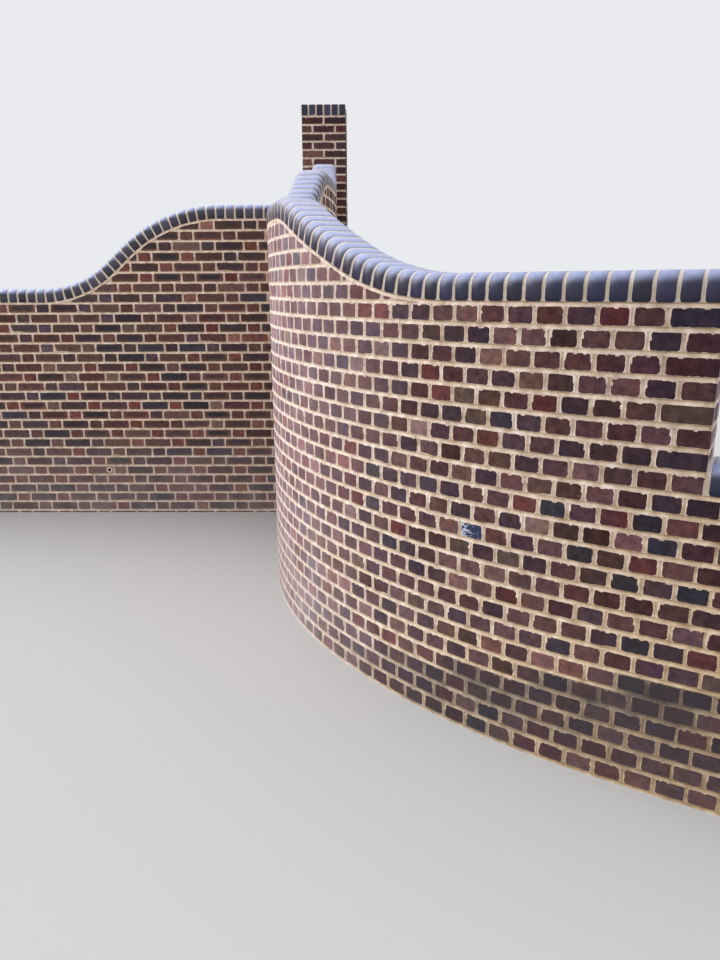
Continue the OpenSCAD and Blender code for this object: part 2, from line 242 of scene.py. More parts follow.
def weather_and_painted_light(tree, place, colour):
    """Lays the weather and painted light on a colour: painted shade, grey, that deepens to the right and
    upwards; pale bloom by the attribute's first value and on the open end of the high wall, in part real
    lime bloom and in part painted light that lifts the left-facing limb; grey dust low down; and wet soil on
    the course where the ground lay against the curved wall, which rose 43 cm in 1.6 m of x, fading on the
    courses under it."""
    weather_and_light = add(tree, "Attribute", attribute_name="weather_and_light")
    amount = add(tree, "SeparateXYZ", [(weather_and_light, 1)])
    height = add(tree, "SeparateXYZ", [place])
    cloud = add(tree, "TexNoise", {"Vector": place, "Scale": 5.0, "Detail": 5.0, "Roughness": 0.65})
    broken = add(tree, "MapRange", [cloud, 0.3, 0.7, 0.45, 1.5])
    normal = (add(tree, "NewGeometry"), 1)
    facing = add(tree, "VectorMath", [normal, QUOIN_FACING], operation="DOT_PRODUCT")
    ended = add(tree, "MapRange", [(facing, 1), 0.9, 0.98, 0.0, 0.5])
    beyond = add(tree, "Math", [height, 1.5], operation="GREATER_THAN")
    open_end = add(tree, "Math", [ended, beyond, amount], **TIMES_PLUS)
    bloom_and_sheen = add(tree, "Math", [open_end, broken], **TIMES)
    # painted shade: the colour is darkened and greyed towards the right-hand end and upwards
    aside = add(tree, "VectorMath", [place, (1.0, 0.0, 0.5)], operation="DOT_PRODUCT")
    painted_shade = add(tree, "MapRange", [(aside, 1), 0.7, 2.65, 0.0, 1.0])
    shaded = add(tree, "Mix", {0: painted_shade, 6: colour, 7: linear("#d7d4d4")}, **TINT)
    # part lime bloom, part painted light: the bloom lifts and pales the colour, then lays a lilac veil
    paler = add(tree, "MapRange", [bloom_and_sheen, 0.0, 1.0, 1.0, 0.5])
    raised = add(tree, "Gamma", [(shaded, 2), paler])
    veil = add(tree, "Math", [bloom_and_sheen, 0.5], **TIMES)
    lilac = add(tree, "Mix", {0: veil, 6: raised, 7: linear("#e0c7ce")}, **OVER)
    low = add(tree, "MapRange", [(height, 2), 0.85, 0.1, 0.0, 1.0], **EASED)
    dusty = add(tree, "Math", [(amount, 1), low], **TIMES)
    patchy = add(tree, "Math", [dusty, broken], **TIMES)
    dust = add(tree, "Mix", {0: patchy, 6: (lilac, 2), 7: linear("#b5a9a8")}, **OVER)
    level = add(tree, "Math", [(height, 2), course], operation="SNAP")
    ground = add(tree, "MapRange", [height, 0.0, 1.6, 0.01, 0.44])
    over = add(tree, "Math", [level, ground], operation="SUBTRACT")
    foot = add(tree, "MapRange", [over, 0.03, 0.0, 0.0, 0.68], **EASED)
    under = add(tree, "MapRange", [over, -0.4, -0.04, 0.22, 1.0])
    wet = add(tree, "MapRange", [height, 0.1, 0.8, 0.0, 1.0])
    banded = add(tree, "Math", [foot, under], **TIMES)
    soil = add(tree, "Math", [banded, wet], **TIMES)
    ragged = add(tree, "Math", [soil, broken], **TIMES)
    return add(tree, "Mix", {0: ragged, 6: (dust, 2), 7: linear("#3b383c")}, **OVER), 2


def daub_and_hole_shade(tree, place, colour):
    """A hole drilled 25 mm wide at a joint of the straight wall, in a daub of mortar 50 mm wide: both by the
    distance from its mouth. The hole is painted shade, a near-black disc on the surface."""
    rough = add(tree, "TexNoise", {"Vector": place, "Scale": 60.0})
    off = add(tree, "VectorMath", [place, HOLE_AT], operation="DISTANCE")
    away = add(tree, "Math", [rough, 0.012, (off, 1)], **TIMES_PLUS)
    daub = add(tree, "MapRange", [away, 0.033, 0.03, 0.0, 1.0])
    patched = add(tree, "Mix", {0: daub, 6: colour, 7: linear("#cdbba6")}, **OVER)
    # painted shade: the hole is a near-black disc, with no hole in the shape
    hole_shade = add(tree, "MapRange", [(off, 1), 0.014, 0.0115, 0.0, 1.0])
    return add(tree, "Mix", {0: hole_shade, 6: (patched, 2), 7: linear("#0e0c0b")}, **OVER), 2


def arris_smear(tree, place, least, spread, drip):
    """1 where mortar is smeared over the arris, 0 on the open face. The distance to the edge is that of a
    box with rounded corners, their radius less the length of what both axes lack of it. It is held
    against a ragged width, more at the ends and on the upper edge, where drips also hang, and scaled by
    the half_face attribute."""
    at = add(tree, "Attribute", attribute_name="face_at")
    half = add(tree, "Attribute", attribute_name="half_face")
    sunk = add(tree, "VectorMath", [(at, 1), (0.0, TOP_MORE, 0.0)], operation="ADD")
    off = add(tree, "VectorMath", [sunk], operation="ABSOLUTE")
    room = add(tree, "VectorMath", [(half, 1), off], operation="SUBTRACT")
    lack = add(tree, "VectorMath", [(CORNER + END_MORE, CORNER, -9.0), room], operation="SUBTRACT")
    over = add(tree, "VectorMath", [lack], operation="MAXIMUM")
    lacking = add(tree, "VectorMath", [over], operation="LENGTH")
    edge = add(tree, "Math", [CORNER, (lacking, 1)], operation="SUBTRACT")
    waves = add(tree, "TexNoise", {"Vector": place, "Scale": 62.0, "Detail": 1.0})
    width = add(tree, "MapRange", [waves, 0.3, 0.7, least, spread])
    # drips 15 mm wide, drawn out downwards so that none stands alone on the face
    tall = add(tree, "Mapping", {0: place, 3: (1.0, 1.0, 0.2)})
    drops = add(tree, "TexNoise", {"Vector": tall, "Scale": 44.0, "Detail": 0.0})
    hung = add(tree, "MapRange", [drops, 0.57, 0.72, 0.0, drip], **EASED)
    apart = add(tree, "SeparateXYZ", [(at, 1)])
    upper = add(tree, "Math", [(apart, 1), 0.0], operation="GREATER_THAN")
    ragged = add(tree, "Math", [hung, upper, width], **TIMES_PLUS)
    share = add(tree, "SeparateXYZ", [(half, 1)])
    scaled = add(tree, "Math", [ragged, (share, 2)], **TIMES)
    inside = add(tree, "Math", [edge, scaled], operation="SUBTRACT")
    return add(tree, "MapRange", [inside, 0.0008, -0.0006, 0.0, 1.0]), 0


def facing_brick():
    """Fired clay facing brick, wire cut and flashed: matt, mottled inside each brick, a darker band along
    the stretchers, fine drag lines, and buff mortar smeared raggedly over the arrises."""
    material, tree = fresh("fired_clay_facing_brick")
    place = (add(tree, "TexCoord"), 3)
    clay = add(tree, "Attribute", attribute_name="clay")
    mottle = add(tree, "TexNoise", {"Vector": place, "Scale": 34.0, "Detail": 5.0, "Roughness": 0.62})
    light = add(tree, "MapRange", [mottle, 0.3, 0.7, 0.66, 1.42])
    # the fire's reach: one side of a brick redder, the other bluer, over 70 mm
    reach = add(tree, "TexNoise", {"Vector": place, "Scale": 14.0})
    warm = add(tree, "MapRange", [reach, 0.38, 0.62, 0.0, 1.0])
    cast = add(tree, "Mix", {0: warm, 6: linear("#ececf8"), 7: linear("#fff2ee")}, **OVER)
    cooled = add(tree, "Mix", {0: 1.0, 6: clay, 7: (cast, 2)}, **TINT)
    mottled = add(tree, "Mix", {0: 1.0, 6: (cooled, 2), 7: light}, **TINT)
    # drag lines of the wire cut, 3 mm apart and 40 mm long, level along the wall
    long = add(tree, "Mapping", {0: place, 3: (0.07, 0.07, 1.0)})
    drag = add(tree, "TexNoise", {"Vector": long, "Scale": 330.0, "Detail": 2.0})
    lined = add(tree, "MapRange", [drag, 0.3, 0.7, 0.88, 1.12])
    lines = add(tree, "Mix", {0: 1.0, 6: (mottled, 2), 7: lined}, **TINT)
    # darker and more violet towards the right-hand end and upwards
    aside = add(tree, "VectorMath", [place, (1.0, 0.0, 0.5)], operation="DOT_PRODUCT")
    right_end_share = add(tree, "MapRange", [(aside, 1), 1.6, 2.7, 0.0, 1.0])
    darkened_to_right = add(tree, "Mix", {0: right_end_share, 6: (lines, 2), 7: linear("#d8dbf6")}, **TINT)
    # kiln flashing: a dark band along the middle of a stretcher that fades towards its ends
    at = add(tree, "SeparateXYZ", [(add(tree, "Attribute", attribute_name="face_at"), 1)])
    band = add(tree, "Math", [(at, 1)], operation="ABSOLUTE")
    near = add(tree, "MapRange", [band, 0.03, 0.008, 0.0, 1.0], **EASED)
    along = add(tree, "Math", [at], operation="ABSOLUTE")
    inner = add(tree, "MapRange", [along, 0.115, 0.055, 0.1, 1.15], **EASED)
    middle = add(tree, "Math", [near, inner], **TIMES)
    flash = add(tree, "Math", [middle, (at, 2)], **TIMES)
    fired = add(tree, "Mix", {0: flash, 6: (darkened_to_right, 2), 7: linear("#3a3538")}, **OVER)
    mortar, _ = sand_mortar(tree, place)
    smear = arris_smear(tree, place, 0.0013, 0.0039, 0.005)
    # one header is painted: dark blue, with pale strokes 5 mm wide brushed aslant over its left part
    slant = add(tree, "Mapping", {0: place, 2: (0.0, 0.75, 0.0), 3: (0.4, 0.4, 1.0)})
    strokes = add(tree, "TexNoise", {"Vector": slant, "Scale": 150.0, "Detail": 2.0, "Distortion": 0.9})
    fading = add(tree, "Math", [at, -2.5, strokes], **TIMES_PLUS)
    struck = add(tree, "MapRange", [fading, 0.57, 0.63, 0.0, 1.0])
    coat = add(tree, "Mix", {0: struck, 6: linear("#383e58"), 7: linear("#c0c4d8")}, **OVER)
    marked = add(tree, "SeparateXYZ", [(add(tree, "Attribute", attribute_name="weather_and_light"), 1)])
    painted = add(tree, "Mix", {0: (marked, 2), 6: (fired, 2), 7: (coat, 2)}, **OVER)
    # the bloom, part lime bloom and part painted light, pales the bricks but leaves them their hues
    richer = add(tree, "Math", [marked, 0.8, 1.0], **TIMES_PLUS)
    vivid = add(tree, "HueSaturation", {"Saturation": richer, "Color": (painted, 2)})
    smeared = add(tree, "Mix", {0: smear, 6: vivid, 7: mortar}, **OVER)
    colour = daub_and_hole_shade(tree, place, weather_and_painted_light(tree, place, (smeared, 2)))
    # surface: pits and folds of the clay to 0.8 mm, and the smear standing 0.7 mm proud
    pits = add(tree, "TexNoise", {"Vector": place, "Scale": 210.0, "Detail": 4.0, "Roughness": 0.7})
    relief = add(tree, "Math", [pits, mottle], operation="ADD")
    raised = add(tree, "Math", [smear, 0.8, relief], **TIMES_PLUS)
    bump = add(tree, "Bump", {"Height": raised, "Distance": 0.0011, "Strength": 0.8})
    rough = add(tree, "MapRange", [pits, 0.3, 0.7, 0.68, 0.9])
    ins = {"Base Color": colour, "Roughness": rough, "Normal": bump, "IOR": 1.12}
    shader = add(tree, "BsdfPrincipled", ins)
    add(tree, "OutputMaterial", [shader])
    return material


def lime_mortar():
    """Lime and cement mortar with sharp sand: matt, gritty, struck with the trowel, darkened to tan by
    painted shade where it lies back under a brick, and left cream on the lip."""
    material, tree = fresh("sand_lime_mortar")
    place = (add(tree, "TexCoord"), 3)
    mortar, grain = sand_mortar(tree, place)
    lip = add(tree, "SeparateXYZ", [(add(tree, "Attribute", attribute_name="weather_and_light"), 1)])
    # painted shade: tan where the joint lies back under the brick above, fading to none on the lip
    recess_shade = add(tree, "Mix", {0: (lip, 2), 6: linear("#b5a787"), 7: linear("#ffffff")}, **OVER)
    recess_shaded = add(tree, "Mix", {0: 1.0, 6: mortar, 7: (recess_shade, 2)}, **TINT)
    # between the coping bricks, where the lip value is over 1, it is grey in front and paler on top, partly
    # rain wash and partly painted skylight
    rain = add(tree, "MapRange", [(lip, 2), 1.0, 2.0, 0.0, 0.65])
    up = add(tree, "SeparateXYZ", [(add(tree, "NewGeometry"), 1)])
    upward_sheen = add(tree, "MapRange", [(up, 2), 0.1, 0.9, 0.0, 1.0])
    wash_and_sky_sheen = add(tree, "Mix", {0: upward_sheen, 6: linear("#b3a793"), 7: linear("#e4e2e4")}, **OVER)
    washed = add(tree, "Mix", {0: rain, 6: (recess_shaded, 2), 7: (wash_and_sky_sheen, 2)}, **OVER)
    colour = daub_and_hole_shade(tree, place, weather_and_painted_light(tree, place, (washed, 2)))
    trowel = add(tree, "TexNoise", {"Vector": place, "Scale": 60.0, "Detail": 3.0})
    height = add(tree, "Math", [grain, 0.35, trowel], **TIMES_PLUS)
    bump = add(tree, "Bump", {"Height": height, "Distance": 0.0018, "Strength": 0.8})
    ins = {"Base Color": colour, "Roughness": 0.93, "Normal": bump, "IOR": 1.12}
    shader = add(tree, "BsdfPrincipled", ins)
    add(tree, "OutputMaterial", [shader])
    return material


def engineering_brick():
    """Blue engineering brick, pressed and hard fired: dense, satin, blue black with a violet cast, paler on
    its upper side, partly from rain and dust and partly a painted reflection of the sky."""
    material, tree = fresh("blue_engineering_brick")
    place = (add(tree, "TexCoord"), 3)
    clay = add(tree, "Attribute", attribute_name="clay")
    mottle = add(tree, "TexNoise", {"Vector": place, "Scale": 30.0, "Detail": 5.0, "Roughness": 0.65})
    light = add(tree, "MapRange", [mottle, 0.3, 0.7, 0.85, 1.16])
    mottled = add(tree, "Mix", {0: 1.0, 6: clay, 7: light}, **TINT)
    up = add(tree, "SeparateXYZ", [(add(tree, "NewGeometry"), 1)])
    # painted reflection of the sky, with some dust: pale lavender on faces that look up
    upward_sheen = add(tree, "MapRange", [(up, 2), 0.1, 0.97, 0.0, 0.85], **EASED)
    sheen_share = add(tree, "Math", [upward_sheen, light], **TIMES)
    sky_sheen_and_dust = add(tree, "Mix", {0: sheen_share, 6: (mottled, 2), 7: linear("#b6c2ec")}, **OVER)
    mortar, _ = sand_mortar(tree, place)
    washed = add(tree, "Mix", {0: 0.5, 6: mortar, 7: linear("#c8c2c0")}, **OVER)
    smear = arris_smear(tree, place, 0.0003, 0.0014, 0.0)
    smeared = add(tree, "Mix", {0: smear, 6: (sky_sheen_and_dust, 2), 7: (washed, 2)}, **OVER)
    weathering = weather_and_painted_light(tree, place, (smeared, 2))
    pits = add(tree, "TexNoise", {"Vector": place, "Scale": 260.0, "Detail": 3.0})
    raised = add(tree, "Math", [smear, 1.2, pits], **TIMES_PLUS)
    bump = add(tree, "Bump", {"Height": raised, "Distance": 0.0007, "Strength": 0.7})
    rough = add(tree, "Math", [smear, 0.5, 0.38], **TIMES_PLUS)
    ins = {"Base Color": weathering, "Roughness": rough, "Normal": bump, "IOR": 1.45}
    shader = add(tree, "BsdfPrincipled", ins)
    add(tree, "OutputMaterial", [shader])
    return material


# radius that the smear gives a brick's corners, and how much wider it is at the ends and on the upper edge
CORNER, END_MORE, TOP_MORE = 0.013, 0.0012, 0.0015
# the way the open end of the high wall faces, and the hole's mouth
QUOIN_FACING = (0.8735, -0.4868, 0.0)
HOLE_AT = (-1.733, 0.0, 0.371)
FINISH = {"brick": facing_brick(), "mortar": lime_mortar(), "coping": engineering_brick()}

# fired colours by how often each comes: the curved wall's headers, then the straight wall's two faces
header_clays = {
    "#4f3d43": 15, "#46383d": 12, "#5f4747": 14, "#563b3b": 15, "#5e4641": 12, "#4d3a36": 9, "#6f534f": 8,
    "#613a39": 7, "#6c4843": 5, "#3f3b42": 3, "#3c3b3e": 2, "#393a39": 1, "#7c6662": 3, "#5f5046": 2,
}
left_header_clays = {
    "#724e46": 24, "#744a44": 14, "#654a45": 20, "#6e5850": 14, "#524443": 12, "#7b554d": 8, "#554a4e": 8,
}
left_stretcher_clays = {
    "#664b43": 20, "#6c544b": 16, "#574544": 16, "#765a53": 12, "#564a4a": 12, "#744e46": 12, "#4b464c": 10,
}
coping_clays = {"#2d2d4a": 32, "#292944": 28, "#343452": 20, "#26273c": 10, "#332d43": 10}
left_coping_clays = {"#44404f": 30, "#3c3847": 28, "#4f4a59": 22, "#36333e": 20}


def fire(count, clays):
    """Colour of each brick: a clay drawn by its share, its lightness spread by about a seventh either way
    and each channel by a thirtieth."""
    share = np.array(list(clays.values()), float)
    picked = draw.choice(len(share), count, p=share / share.sum())
    base = np.array([linear(code)[:3] for code in clays])[picked]
    return base * draw.normal(1, 0.15, (count, 1)).clip(0.7, 1.4) * draw.normal(1, 0.035, (count, 3))


def weather_and_light_at(wall, s, w):
    """Bloom where the outer face looks left, part lime bloom and part painted light on that side, and dust,
    more of it there and on the straight wall.
    """
    looks_left = -np.sin(wall.line(s)[2])
    outer = (w < wall_t / 2) * (1.0 if wall in (curved, low_right) else 0.0)
    # the bloom is part lime bloom and part painted light, growing as the outer face turns to the left
    bloom_and_sheen = np.clip((looks_left - 0.66) / 0.34, 0, 1) ** 1.5 * 0.55 * outer
    dust = 0.05 + outer * np.clip((looks_left - 0.75) / 0.25, 0, 1) * 0.5 + (0.16 if wall is left else 0)
    return np.stack([bloom_and_sheen, dust + 0 * bloom_and_sheen, 0 * bloom_and_sheen], -1)


def build(name, points, faces, finish, nodes, fields, smooth=()):
    """Makes a piece: mesh from points and faces, its fields as attributes, its finish, and the nodes it
    stands for. smooth says of each of the first faces whether it is shaded round."""
    mesh = bpy.data.meshes.new(name)
    mesh.from_pydata(points.reshape(-1, 3).tolist(), [], faces)
    rounded = np.concatenate([smooth, np.zeros(len(faces) - len(smooth))]).astype(bool)
    mesh.polygons.foreach_set("use_smooth", rounded)
    for key, (domain, kind, values) in fields.items():
        slot = "color" if kind == "FLOAT_COLOR" else "vector"
        layer = mesh.attributes.new(key, kind, domain)
        layer.data.foreach_set(slot, np.ascontiguousarray(values, np.float32).ravel())
    mesh.materials.append(FINISH[finish])
    thing = bpy.data.objects.new(name, mesh)
    bpy.context.scene.collection.objects.link(thing)
    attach(thing, "root")
    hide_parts(*nodes)


def lathe_faces(rings, sides, count):
    """Quads between rings of points and a cap at both ends, for count bodies one after another, all facing
    outwards. Gives the faces, and one body's quads."""
    i = np.arange(sides)
    band = np.stack([i, i + sides, (i + 1) % sides + sides, (i + 1) % sides], -1)
    quads = np.concatenate([band + sides * r for r in range(rings - 1)])
    start = (np.arange(count) * rings * sides)[:, None]
    faces = (start[:, :, None] + quads).reshape(-1, 4).tolist()
    return faces + (start + i).tolist() + (start + sides * (rings - 1) + i[::-1]).tolist(), quads


def run_along(points):
    """Distance along a line of points: the sum of the lengths of its steps."""
    return np.concatenate([[0], np.cumsum(np.linalg.norm(np.diff(points, axis=0), axis=1))])


# station and height of the header that has paint on it
PAINTED = (2.37, 0.89)
# a brick has 4 rings of 12 points, and these edges of a ring lie on its two ends
RINGS, SIDES = 4, 12
END_EDGES = np.isin(np.arange(SIDES), (0, 4, 5, 6, 10, 11))
# a coping brick has rings of 16 points
NOSE_SIDES = 16


def lay(name, wall, table, clays, finish, nodes, open_ends):
    """Bricks from rows of s0, s1, w0, w1, z0, z1, flash. Each is cut to the stretch where the wall's top
    clears its foot, outlined by 12 points with eased corners, and skinned over 4 rings: face, arris,
    arris, face. open_ends are the stations where the wall has a free corner."""
    table = np.array(table)
    s0, s1, w0, w1, z0, z1, flash = table.T
    tries, least_tries = 41, 8
    tried = s0[:, None] + (s1 - s0)[:, None] * np.linspace(0, 1, tries)
    clear = wall.top(tried) > z0[:, None] + least_h
    keep = clear.sum(1) > least_tries
    first, last = clear.argmax(1), tries - 1 - clear[:, ::-1].argmax(1)
    row = np.arange(len(s0))
    s0, s1 = tried[row, first][keep], tried[row, last][keep]
    w0, w1, z0, z1, flash = (a[keep] for a in (w0, w1, z0, z1, flash))
    count = len(s0)
    flash = flash * draw.uniform(0.15, 0.95, count)
    ease = draw.uniform(0.002, 0.0045, (count, 4))
    long = s1 - s0
    u = s0[:, None] + np.stack([0 * long, ease[:, 0], long / 3, long * 2 / 3, long - ease[:, 1], long], -1)
    high = np.minimum(z1[:, None], wall.top(u))
    tip = np.minimum(ease, 0.3 * (high[:, [0, 5, 5, 0]] - z0[:, None]))
    foot = np.repeat(z0[:, None], 6, 1)
    foot[:, 0] += tip[:, 0]
    foot[:, 5] += tip[:, 1]
    high[:, 5] -= tip[:, 2]
    high[:, 0] -= tip[:, 3]
    s = np.concatenate([u, u[:, ::-1]], 1)
    z = np.concatenate([foot, high[:, ::-1]], 1)
    middle_s, middle_z = (s0 + s1) / 2, (z0 + high.max(1)) / 2
    turn = draw.normal(0, 0.006, count)
    z = z + turn[:, None] * (s - middle_s[:, None]) + draw.normal(0, 0.0005, (count, SIDES))
    s = s + draw.normal(0, 0.0006, (count, SIDES)) + draw.normal(0, 0.0009, (count, 1))
    # a broken corner on one brick in eight
    hit, at_corner = draw.random(count) < 0.12, draw.integers(0, 4, count)
    broken = hit[:, None] * (np.arange(SIDES)[None] // 3 == at_corner[:, None])
    bite = draw.uniform(0.1, 0.35, (count, 1)) * broken
    z = z + (middle_z[:, None] - z) * bite * 0.6
    s = s + (middle_s[:, None] - s) * bite * 0.35
    proud = draw.uniform(0.001, 0.0022, (2, count))
    depth = np.stack([w0 + proud[0], w0 + proud[0] + arris, w1 - proud[1] - arris, w1 - proud[1]], -1)
    inset = np.array([arris, 0, 0, arris])[None, :, None]
    s = s[:, None] + inset * np.sign(middle_s[:, None] - s)[:, None]
    z = z[:, None] + inset * np.sign(middle_z[:, None] - z)[:, None]
    s = np.clip(s, *wall.ends)
    w = depth[:, :, None] + 0 * s
    z = np.clip(z, 0, np.minimum(z1 + 0.002, z_edge)[:, None, None])
    faces, quads = lathe_faces(RINGS, SIDES, count)
    weather_and_light = weather_and_light_at(wall, s, w)
    near_s, near_z = np.abs(middle_s - PAINTED[0]) < 0.05, np.abs(middle_z - PAINTED[1]) < 0.03
    weather_and_light[..., 2] = ((wall is curved) & near_s & near_z)[:, None, None]
    # each corner's place on its own face and that face's half size; a side face reads the depth instead
    deep = w - ((w0 + w1) / 2)[:, None, None]
    off = np.stack([s - middle_s[:, None, None], z - middle_z[:, None, None], deep], -1)
    half = np.stack([long / 2, (high.max(1) - z0) / 2, (w1 - w0) / 2], -1)
    # a face that ends at a free corner is read as 20 mm longer there, so that no mortar covers that arris
    free = 0.01 * np.stack([s[:, 0].min(1) < open_ends[0] + 0.01, s[:, 0].max(1) > open_ends[1] - 0.01], -1)
    off[..., 0] += (free[:, 0] - free[:, 1])[:, None, None]
    half += np.column_stack([free.sum(1), 0 * long, free.max(1)])
    bands = RINGS - 1
    side = np.repeat(np.arange(bands) == 1, SIDES)
    ends, tops = side & np.tile(END_EDGES, bands), side & ~np.tile(END_EDGES, bands)
    axes = np.stack([np.where(ends, 2, 0), np.where(tops, 2, 1)], -1)
    flat = off.reshape(count, RINGS * SIDES, 3)
    shape = (count, *quads.shape, 2)
    quad_at = np.take_along_axis(flat[:, quads], np.broadcast_to(axes[None, :, None], shape), 3)
    quad_half = np.broadcast_to(half[:, axes][:, :, None], shape)
    caps = [np.arange(SIDES), np.arange(bands * SIDES, RINGS * SIDES)[::-1]]
    cap_at = flat[:, caps, :2].transpose(1, 0, 2, 3)
    cap_half = np.broadcast_to(half[None, :, None, :2], cap_at.shape)
    at = np.concatenate([quad_at.reshape(-1, 2), cap_at.reshape(-1, 2)])
    mark = np.concatenate([np.repeat(flash, quads.size), np.tile(np.repeat(flash, SIDES), 2)])
    sizes = np.concatenate([quad_half.reshape(-1, 2), cap_half.reshape(-1, 2)])
    smeared = 0 * mark + (0.5 if wall is left else 1.0)
    colours = np.column_stack([clays(flash), np.ones(count)])
    fields = {
        "face_at": ("CORNER", "FLOAT_VECTOR", np.column_stack([at, mark])),
        "half_face": ("CORNER", "FLOAT_VECTOR", np.column_stack([sizes, smeared])),
        "clay": ("POINT", "FLOAT_COLOR", np.repeat(colours, RINGS * SIDES, 0)),
        "weather_and_light": ("POINT", "FLOAT_VECTOR", weather_and_light.reshape(-1, 3)),
    }
    build(name, wall.spot(s, w, z), faces, finish, nodes, fields)


def nose(inset):
    """Bullnose outline in w and v, drawn in by an inset: a square foot, then a quarter circle on each
    upper edge in 15 degree steps."""
    a = np.radians(np.arange(0, 91, 15))
    near = np.stack([nose_r - nose_r * np.cos(a), cop_h - nose_r + nose_r * np.sin(a)], -1)
    far = np.stack([wall_t - near[::-1, 0], near[::-1, 1]], -1)
    shape = np.concatenate([[[0, 0]], near, far, [[wall_t, 0]]])
    centre = np.array([wall_t / 2, 0])
    return centre + (shape - centre) * (1 - inset / np.array([wall_t / 2, cop_h]))


def cope(name, wall, s0, s1, nodes, start, pitch):
    """Bullnose bricks on edge: the outline carried across each brick's width in 4 rings, set square to
    the top line, narrowed towards the inner side by the wall's curvature. start is where a joint falls.
    The joints are counted along a line over the top line, to 200 either way."""
    grid = np.linspace(left_grid_x if wall is left else s_pier - 0.1, low_end + 0.1, 20001)
    along = run_along(wall.over(grid, 0.0, pitch_lift))
    anchor = np.interp(start, grid, along)
    steps = np.arange(-200, 200) + 0.5
    centre = np.interp(anchor + steps * pitch, along, grid, left=np.nan, right=np.nan)
    centre = centre[(centre > s0) & (centre < s1)]
    count = len(centre)
    clays = left_coping_clays if wall is left else coping_clays
    shape = nose(0.0)
    edge = cop_brick / 2 + draw.normal(0, 0.0006, (count, 1))
    ring_e = np.stack([-edge, cop_arris - edge, edge - cop_arris, edge], 1)[:, :, 0]
    ring_in = np.array([cop_arris, 0, 0, cop_arris])
    middle = np.array([wall_t / 2, cop_h / 2])
    size = np.array([wall_t, cop_h]) / 2
    drawn_in = ring_in[:, None] + draw.uniform(0, 0.0008, (count, 1, 1))
    body = middle + (shape[None] - middle) * (1 - drawn_in[..., None] / size)
    w, v = body[..., 0], body[..., 1] + joint
    c = centre[:, None, None]
    h = wall.line(c)[2]
    bend = (wall.line(c + 0.01)[2] - wall.line(c - 0.01)[2]) / 0.02
    b = wall.slope(c)
    e = ring_e[:, :, None] * (1 - bend * w)
    way = np.stack(np.broadcast_arrays(np.cos(h) * np.cos(b), np.sin(h) * np.cos(b), np.sin(b)), -1)
    points = wall.over(c, w, v) + e[..., None] * way
    faces, quads = lathe_faces(RINGS, NOSE_SIDES, count)
    faces = [f[::-1] for f in faces]
    run = run_along(shape)
    run = run - run[-1] / 2
    all_points = (count, RINGS * NOSE_SIDES)
    e_all = np.broadcast_to(ring_e[:, :, None], (count, RINGS, NOSE_SIDES)).reshape(all_points)
    run_all = np.broadcast_to(run, (count, RINGS, NOSE_SIDES)).reshape(all_points)
    turned = quads[:, ::-1]
    quad_at = np.stack([e_all[:, turned], run_all[:, turned]], -1).reshape(-1, 2)
    flat = (np.stack([w, v - joint], -1) - middle).reshape(*all_points, 2)
    caps = [np.arange(NOSE_SIDES)[::-1], np.arange((RINGS - 1) * NOSE_SIDES, RINGS * NOSE_SIDES)]
    cap_at = flat[:, caps].transpose(1, 0, 2, 3).reshape(-1, 2)
    at = np.concatenate([quad_at, cap_at])
    side_size = np.tile([cop_brick / 2, run[-1]], (len(quad_at), 1))
    sizes = np.concatenate([side_size, np.tile(size, (len(cap_at), 1))])
    colours = np.column_stack([fire(count, clays), np.ones(count)])
    fields = {
        "face_at": ("CORNER", "FLOAT_VECTOR", np.column_stack([at, 0 * at[:, 0]])),
        "half_face": ("CORNER", "FLOAT_VECTOR", np.column_stack([sizes, 0 * at[:, 0] + 1])),
        "clay": ("POINT", "FLOAT_COLOR", np.repeat(colours, RINGS * NOSE_SIDES, 0)),
        "weather_and_light": ("POINT", "FLOAT_VECTOR", weather_and_light_at(wall, c, w).reshape(-1, 3) * (0.3, 1, 1)),
    }
    # the nose is shaded round between the arrises, but not the flat foot
    side = np.arange(len(quads))
    smooth = np.tile((side // NOSE_SIDES == 1) & (side % NOSE_SIDES != NOSE_SIDES - 1), count)
    build(name, points, faces, "coping", nodes, fields, smooth)


def skin(rings):
    """Faces of a closed skin over rings of points along the wall: quads between rings and caps at both
    ends, turned outwards by the sign of its volume."""
    m, n = rings.shape[:2]
    faces, quads = lathe_faces(m, n, 1)
    flat = rings.reshape(-1, 3)
    a, b, c, d = (flat[quads[:, k]] - flat.mean(0) for k in range(4))
    volume = (np.cross(a, b) * c).sum() + (np.cross(a, c) * d).sum()
    return faces if volume > 0 else [f[::-1] for f in faces]


def cleared(wall, s0, s1, z):
    """The part of s0 to s1 where the wall's top is over height z."""
    s = np.linspace(s0, s1, 600)
    s = s[wall.top(s) >= z - 1e-6]
    return (s[0], s[-1]) if len(s) > 1 else None


def struck_bed(s0, s1, step):
    """Weather-struck bed joint: a wedge carried along the wall, 4 mm back under the brick above, coming
    out and down over the top of the brick below, its lip wandering by 1 mm. Gives stations, depths,
    heights, and how much of each point is lip."""
    s = np.linspace(s0, s1, max(2, round((s1 - s0) / step) + 1))
    zero, lip = 0 * s, 0.0003 + draw.uniform(0, 0.0006, len(s))
    drop = -0.0032 + draw.normal(0, 0.001, len(s))
    depth = np.stack([zero + 0.0052, zero + 0.0052, zero + 0.0042, lip + 0.0004, lip, lip + 0.0012], -1)
    height = np.stack([drop - 0.0012, zero + joint, zero + joint, zero + 0.004, drop, drop - 0.0012], -1)
    return s[:, None], depth, height, np.array([0, 0, 0, 0.8, 1, 1.0])


def lipped(weather_and_light, lips):
    """Weather values with the third set to how much of each point is lip, which sets the painted recess
    shade.
    """
    weather_and_light[..., 2] = lips
    return weather_and_light


